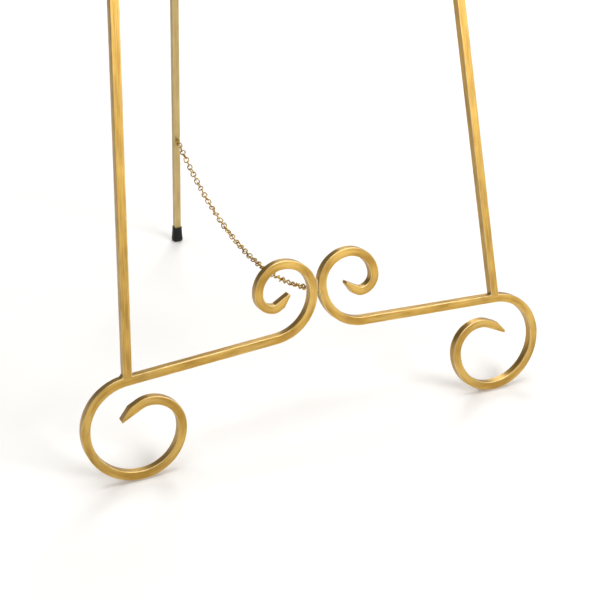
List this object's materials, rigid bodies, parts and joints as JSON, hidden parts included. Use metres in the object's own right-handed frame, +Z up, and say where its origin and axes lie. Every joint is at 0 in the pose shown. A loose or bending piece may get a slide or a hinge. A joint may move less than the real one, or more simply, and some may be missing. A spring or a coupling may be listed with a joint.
{
  "type": "display easel",
  "caption": "Free-standing floor easel of square metal bar with scrolled base, legs narrowing upwards, picture hooks on a ledge bar, hinged rear leg and safety chain.",
  "frame": {"origin": "on the floor, in the middle of the stand's footprint box", "axes": "+X to the easel's right seen from the front, +Y to the back, +Z up"},
  "size_m": [0.5122, 0.5004, 1.6019],
  "materials": {
    "gold_lacquer": "satin gold lacquer over brushed square bar",
    "rear_leg_lacquer": "duller gold lacquer on square bar",
    "weld_bead": "rough weld bead under gold lacquer",
    "plated_fastener": "yellow plated steel",
    "chain_brass": "bright brass-coloured wire links",
    "black_rubber": "matt black rubber"
  },
  "bodies": {
    "front_frame": {"left_base_scroll": "gold_lacquer", "right_base_scroll": "gold_lacquer", "base_centre_weld": "weld_bead", "left_front_leg": "gold_lacquer", "right_front_leg": "gold_lacquer", "left_leg_weld": "weld_bead", "right_leg_weld": "weld_bead", "ledge_bar": "gold_lacquer", "left_ledge_weld": "weld_bead", "right_ledge_weld": "weld_bead", "left_picture_hook": "gold_lacquer", "right_picture_hook": "gold_lacquer", "left_hook_weld": "weld_bead", "right_hook_weld": "weld_bead", "top_crossbar": "gold_lacquer", "left_crossbar_weld": "weld_bead", "right_crossbar_weld": "weld_bead", "left_crest_scroll": "gold_lacquer", "right_crest_scroll": "gold_lacquer", "left_crest_weld": "weld_bead", "right_crest_weld": "weld_bead", "crest_centre_weld": "weld_bead", "hinge_bracket": "gold_lacquer", "hinge_bolt": "plated_fastener", "hinge_nut": "plated_fastener", "hinge_washer_left": "plated_fastener", "hinge_washer_right": "plated_fastener", "front_chain_eye": "chain_brass", "chain": "chain_brass"},
    "rear_leg_body": {"rear_leg": "rear_leg_lacquer", "rear_leg_tip": "black_rubber", "rear_chain_eye": "chain_brass"}
  },
  "joints": [
    {"name": "rear_leg_hinge", "type": "hinge", "parent": "front_frame", "child": "rear_leg_body", "pos_m": [0, 0.06509, 1.49326], "axis": [1, 0, 0], "range_deg": [-17.6, 0.6], "deforming": ["chain"]}
  ]
}
